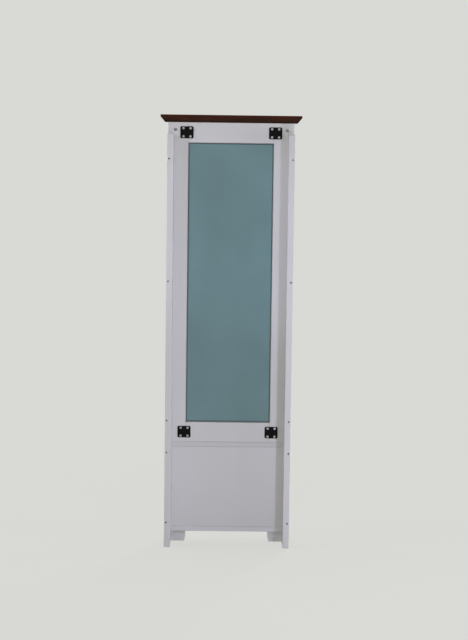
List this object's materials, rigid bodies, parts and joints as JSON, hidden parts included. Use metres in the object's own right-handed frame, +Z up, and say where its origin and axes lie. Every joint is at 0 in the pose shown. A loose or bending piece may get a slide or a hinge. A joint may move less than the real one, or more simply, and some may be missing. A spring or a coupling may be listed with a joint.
{
  "type": "free-standing mirror tower",
  "caption": "Tall slim free-standing mirror tower, white painted frame with open back, bevelled dark wood cap, side boards on tapered feet, bracket-foot plinth and steel corner plates.",
  "frame": {"origin": "on the floor, at the middle of the object's bounding box", "axes": "+Z up, the mirror faces -Y, the open back faces +Y, +X to the right as seen facing the mirror"},
  "size_m": [0.416, 0.109, 1.275],
  "materials": {
    "white_paint": "satin white paint on wood board",
    "dark_wood": "dark red-brown stained wood, satin lacquer",
    "mirror": "silvered float glass",
    "mirror_backing": "blue-green protective back coat, matt",
    "foam_tape": "white foam mounting tape",
    "black_plate": "black powder coat",
    "zinc_screw": "bright zinc plate",
    "bare_dowel": "bare beech"
  },
  "bodies": {
    "root": {"left_stile": "white_paint", "right_stile": "white_paint", "top_rail": "white_paint", "bottom_rail": "white_paint", "mid_rail": "white_paint", "lower_panel": "white_paint", "base_rail": "white_paint", "front_plinth": "white_paint", "left_side_board": "white_paint", "right_side_board": "white_paint", "top_cap": "dark_wood", "mirror_glass": "mirror", "mirror_back_film": "mirror_backing", "mirror_mounting_tape": "foam_tape", "top_left_corner_plate": "black_plate", "top_right_corner_plate": "black_plate", "bottom_left_corner_plate": "black_plate", "bottom_right_corner_plate": "black_plate", "corner_plate_screws": "zinc_screw", "strap_screws": "zinc_screw", "left_side_dowels": "bare_dowel", "right_side_dowels": "bare_dowel", "frame_dowels": "bare_dowel", "cap_dowels": "bare_dowel", "mid_rail_dowels": "bare_dowel", "base_rail_dowels": "bare_dowel", "plinth_dowels": "bare_dowel"}
  },
  "joints": []
}
